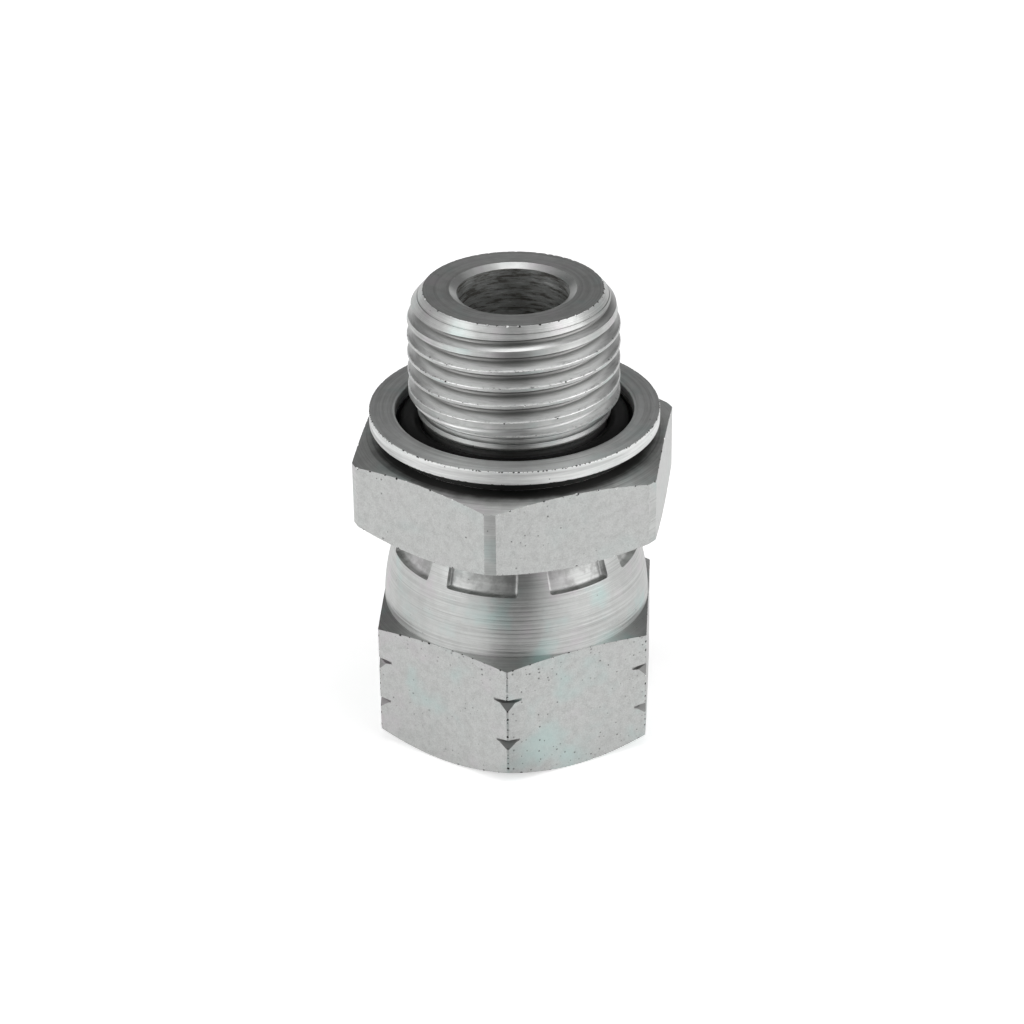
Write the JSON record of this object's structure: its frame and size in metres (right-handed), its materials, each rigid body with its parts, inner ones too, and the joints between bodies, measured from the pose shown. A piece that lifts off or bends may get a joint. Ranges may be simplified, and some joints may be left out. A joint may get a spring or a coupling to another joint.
{
  "type": "straight pipe adapter",
  "caption": "Straight hydraulic adapter: externally threaded stud with a rubber seal and steel retaining ring, spanner hexagon, and a crimped-on swivel nut.",
  "frame": {"origin": "on the adapter's axis, at the swivel nut's flat face, on which the adapter stands", "axes": "+Z along the bore, from the swivel nut to the threaded stud; -Y is the side that the picture shows in front"},
  "size_m": [0.032, 0.0338, 0.0473],
  "materials": {
    "plated_steel": "zinc-plated turned steel, satin, with fine tool lines and small pits",
    "ring_steel": "zinc-plated pressed steel, dull on its face and brighter on its rim",
    "seal_rubber": "smooth black rubber with a soft shine"
  },
  "bodies": {
    "adapter": {"adapter_body": "plated_steel", "retaining_ring": "ring_steel", "o_ring": "seal_rubber"},
    "swivel_nut": {"swivel_nut": "plated_steel"}
  },
  "joints": [
    {"name": "nut_swivel", "type": "hinge", "parent": "adapter", "child": "swivel_nut", "pos_m": [0, 0, 0.0169], "axis": [0, 0, 1], "continuous": true}
  ]
}
